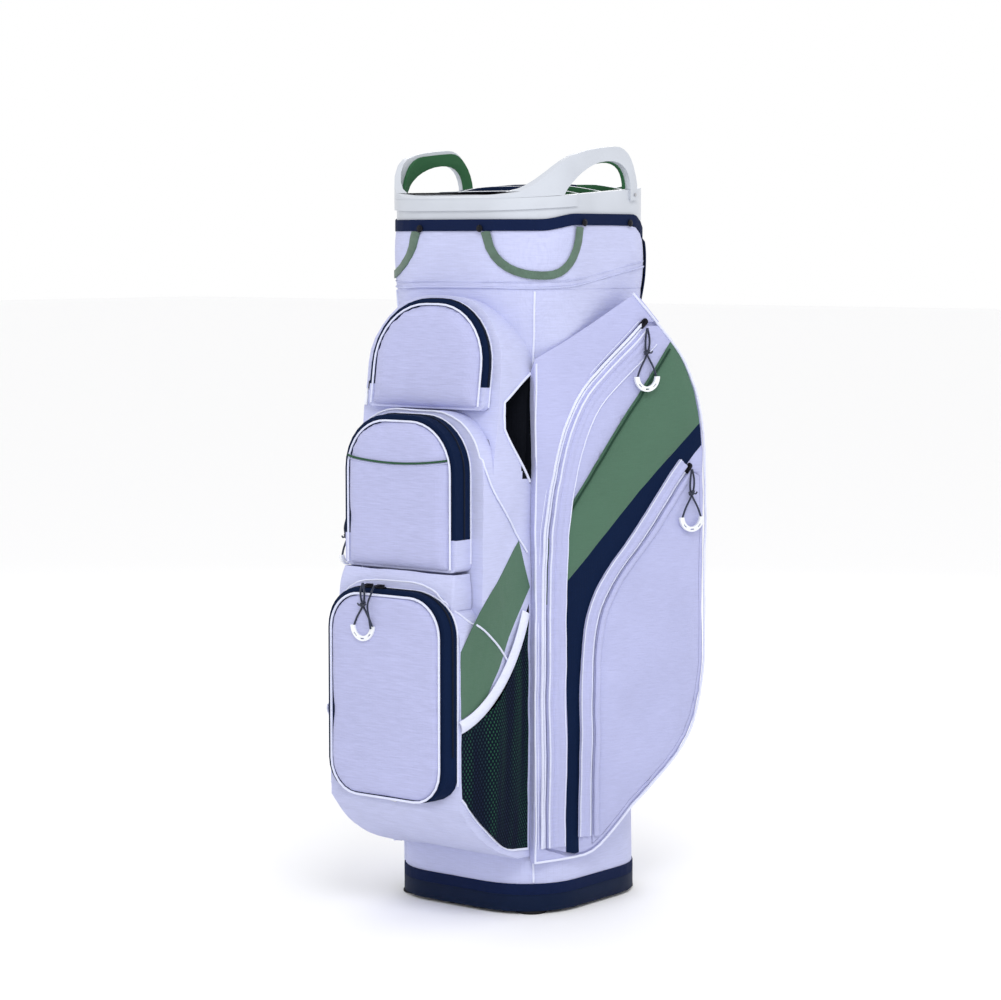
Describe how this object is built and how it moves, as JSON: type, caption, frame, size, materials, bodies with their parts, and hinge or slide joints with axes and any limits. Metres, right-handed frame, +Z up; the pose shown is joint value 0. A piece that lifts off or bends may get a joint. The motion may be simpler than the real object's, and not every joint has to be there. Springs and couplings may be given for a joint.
{
  "type": "golf bag",
  "caption": "Golf cart bag: padded tube with club dividers and arched side handles, stacked front pockets, swinging side pocket panels, mesh pockets and a shoulder strap.",
  "frame": {"origin": "middle of the tube at the floor, on the underside of the base", "axes": "+Z up along the tube, -Y towards the stacked front pockets, +X towards the right side pocket"},
  "size_m": [0.4002, 0.4446, 0.94],
  "materials": {
    "base_plastic": "moulded, lightly textured navy",
    "foot_rubber": "matt",
    "navy_binding": "woven polyester tape",
    "white_fabric": "coated ripstop polyester",
    "stay_metal": "drawn tube",
    "stud_plastic": "moulded",
    "collar_plastic": "satin white moulding",
    "screw_metal": "plated",
    "divider_fabric": "brushed nylon",
    "grip_rubber": "soft touch, matt",
    "green_webbing": "woven nylon webbing",
    "green_fabric": "plain weave polyester",
    "mesh_fabric": "knitted air mesh",
    "white_binding": "folded binding tape",
    "navy_fabric": "plain weave polyester",
    "slider_metal": "black enamel",
    "pull_rubber": "moulded grip on a navy cord",
    "ring_metal": "plated wire",
    "hook_plastic": "moulded acetal",
    "strap_fabric": "padded mesh and webbing"
  },
  "bodies": {
    "bag": {"base_cup": "base_plastic", "base_feet": "foot_rubber", "navy_bands": "navy_binding", "body_tube": "white_fabric", "frame_stays": "stay_metal", "cuff_skirt": "white_fabric", "hood_studs": "stud_plastic", "collar": "collar_plastic", "handle_hoop": "collar_plastic", "hoop_screws": "screw_metal", "divider_grid": "collar_plastic", "divider_sheets": "divider_fabric", "grip_left": "grip_rubber", "grip_right": "grip_rubber", "ball_block": "white_fabric", "mid_block": "white_fabric", "top_block": "white_fabric", "front_stripes": "green_fabric", "mesh_left": "mesh_fabric", "mesh_right": "mesh_fabric", "mesh_bindings": "white_binding", "side_shell_left": "white_fabric", "side_shell_right": "white_fabric", "side_zips": "white_binding", "spine_pad": "navy_fabric", "strap_rings": "ring_metal"},
    "ball_door": {"ball_face": "white_fabric", "ball_gusset": "navy_fabric"},
    "ball_slider_l": {"ball_slider_left": "slider_metal"},
    "ball_slider_r": {"ball_slider_right": "slider_metal"},
    "ball_pull": {"ball_pull": "pull_rubber"},
    "mid_door": {"mid_face": "white_fabric", "mid_gusset": "navy_fabric"},
    "mid_slider": {"mid_slider": "slider_metal"},
    "mid_pull": {"mid_pull": "pull_rubber"},
    "top_door": {"top_face": "white_fabric", "top_gusset": "navy_fabric"},
    "top_slider": {"top_slider": "slider_metal"},
    "top_pull": {"top_pull": "pull_rubber"},
    "web_loop_l": {"web_loop_left": "green_webbing"},
    "web_loop_r": {"web_loop_right": "green_webbing"},
    "shoulder_strap": {"strap_hooks": "hook_plastic", "strap_pad": "strap_fabric", "strap_webbing": "strap_fabric"},
    "side_panel_r": {"side_panel_right": "white_fabric", "green_stripe_right": "green_fabric", "navy_stripe_right": "navy_fabric"},
    "lower_door_r": {"lower_door_right": "white_fabric"},
    "upper_slider_r": {"upper_slider_right": "slider_metal"},
    "upper_pull_r": {"upper_pull_right": "pull_rubber"},
    "lower_slider_r": {"lower_slider_right": "slider_metal"},
    "lower_pull_r": {"lower_pull_right": "pull_rubber"},
    "side_panel_l": {"side_panel_left": "white_fabric", "green_stripe_left": "green_fabric", "navy_stripe_left": "navy_fabric"},
    "lower_door_l": {"lower_door_left": "white_fabric"},
    "upper_slider_l": {"upper_slider_left": "slider_metal"},
    "upper_pull_l": {"upper_pull_left": "pull_rubber"},
    "lower_slider_l": {"lower_slider_left": "slider_metal"},
    "lower_pull_l": {"lower_pull_left": "pull_rubber"}
  },
  "joints": [
    {"name": "ball_door_hinge", "type": "hinge", "parent": "bag", "child": "ball_door", "pos_m": [0, -0.263, 0.157], "axis": [1, 0, 0], "range_deg": [0, 90]},
    {"name": "ball_slider_l_run", "type": "slide", "parent": "ball_door", "child": "ball_slider_l", "axis": [-1, 0, 0], "range_m": [0, 0.01]},
    {"name": "ball_slider_r_run", "type": "slide", "parent": "ball_door", "child": "ball_slider_r", "axis": [1, 0, 0], "range_m": [0, 0.045]},
    {"name": "ball_pull_swing", "type": "hinge", "parent": "ball_slider_l", "child": "ball_pull", "pos_m": [-0.03, -0.266, 0.414], "axis": [-1, 0, 0], "range_deg": [0, 100]},
    {"name": "mid_door_hinge", "type": "hinge", "parent": "bag", "child": "mid_door", "pos_m": [0, -0.236, 0.432], "axis": [1, 0, 0], "range_deg": [0, 75]},
    {"name": "mid_slider_run", "type": "slide", "parent": "mid_door", "child": "mid_slider", "axis": [0, 0, 1], "range_m": [0, 0.05]},
    {"name": "mid_pull_swing", "type": "hinge", "parent": "mid_slider", "child": "mid_pull", "pos_m": [-0.0948, -0.2195, 0.484], "axis": [0, 1, 0], "range_deg": [0, 90]},
    {"name": "top_door_hinge", "type": "hinge", "parent": "bag", "child": "top_door", "pos_m": [0, -0.189, 0.624], "axis": [1, 0, 0], "range_deg": [0, 75]},
    {"name": "top_slider_run", "type": "slide", "parent": "top_door", "child": "top_slider", "axis": [0, 0.1392, 0.9903], "range_m": [0, 0.02]},
    {"name": "top_pull_swing", "type": "hinge", "parent": "top_slider", "child": "top_pull", "pos_m": [-0.0988, -0.17689, 0.64552], "axis": [0, 0.9903, -0.1392], "range_deg": [0, 90]},
    {"name": "side_panel_r_hinge", "type": "hinge", "parent": "bag", "child": "side_panel_r", "pos_m": [0.19402, 0.13251, 0.4], "axis": [0, 0, 1], "range_deg": [0, 30]},
    {"name": "lower_door_r_hinge", "type": "hinge", "parent": "side_panel_r", "child": "lower_door_r", "pos_m": [0.19402, 0.13251, 0.4], "axis": [0, 0, 1], "range_deg": [0, 25]},
    {"name": "upper_slider_r_run", "type": "slide", "parent": "side_panel_r", "child": "upper_slider_r", "axis": [-0.2388, -0.7137, -0.6585], "range_m": [0, 0.07]},
    {"name": "lower_slider_r_run", "type": "slide", "parent": "lower_door_r", "child": "lower_slider_r", "axis": [-0.2023, -0.6046, -0.7704], "range_m": [0, 0.09]},
    {"name": "upper_pull_r_swing", "type": "hinge", "parent": "upper_slider_r", "child": "upper_pull_r", "pos_m": [0.17032, 0.0371, 0.72077], "axis": [-0.3173, -0.9483, 0], "range_deg": [0, 90]},
    {"name": "lower_pull_r_swing", "type": "hinge", "parent": "lower_slider_r", "child": "lower_pull_r", "pos_m": [0.19253, 0.10349, 0.539], "axis": [-0.3173, -0.9483, 0], "range_deg": [0, 90]},
    {"name": "web_loop_r_swing", "type": "hinge", "parent": "bag", "child": "web_loop_r", "pos_m": [0.09594, -0.09594, 0.83527], "axis": [-0.7071, -0.7071, 0], "range_deg": [0, 70]},
    {"name": "side_panel_l_hinge", "type": "hinge", "parent": "bag", "child": "side_panel_l", "pos_m": [-0.19402, 0.13251, 0.4], "axis": [0, 0, -1], "range_deg": [0, 30]},
    {"name": "lower_door_l_hinge", "type": "hinge", "parent": "side_panel_l", "child": "lower_door_l", "pos_m": [-0.19402, 0.13251, 0.4], "axis": [0, 0, -1], "range_deg": [0, 25]},
    {"name": "upper_slider_l_run", "type": "slide", "parent": "side_panel_l", "child": "upper_slider_l", "axis": [0.2388, -0.7137, -0.6585], "range_m": [0, 0.07]},
    {"name": "lower_slider_l_run", "type": "slide", "parent": "lower_door_l", "child": "lower_slider_l", "axis": [0.2023, -0.6046, -0.7704], "range_m": [0, 0.09]},
    {"name": "upper_pull_l_swing", "type": "hinge", "parent": "upper_slider_l", "child": "upper_pull_l", "pos_m": [-0.17032, 0.0371, 0.72077], "axis": [-0.3173, 0.9483, 0], "range_deg": [0, 90]},
    {"name": "lower_pull_l_swing", "type": "hinge", "parent": "lower_slider_l", "child": "lower_pull_l", "pos_m": [-0.19253, 0.10349, 0.539], "axis": [-0.3173, 0.9483, 0], "range_deg": [0, 90]},
    {"name": "web_loop_l_swing", "type": "hinge", "parent": "bag", "child": "web_loop_l", "pos_m": [-0.09594, -0.09594, 0.83527], "axis": [-0.7071, 0.7071, 0], "range_deg": [0, 70]},
    {"name": "strap_swing", "type": "hinge", "parent": "bag", "child": "shoulder_strap", "pos_m": [0, 0.1462, 0.53077], "axis": [0, 0, 1], "range_deg": [-40, 40]}
  ]
}
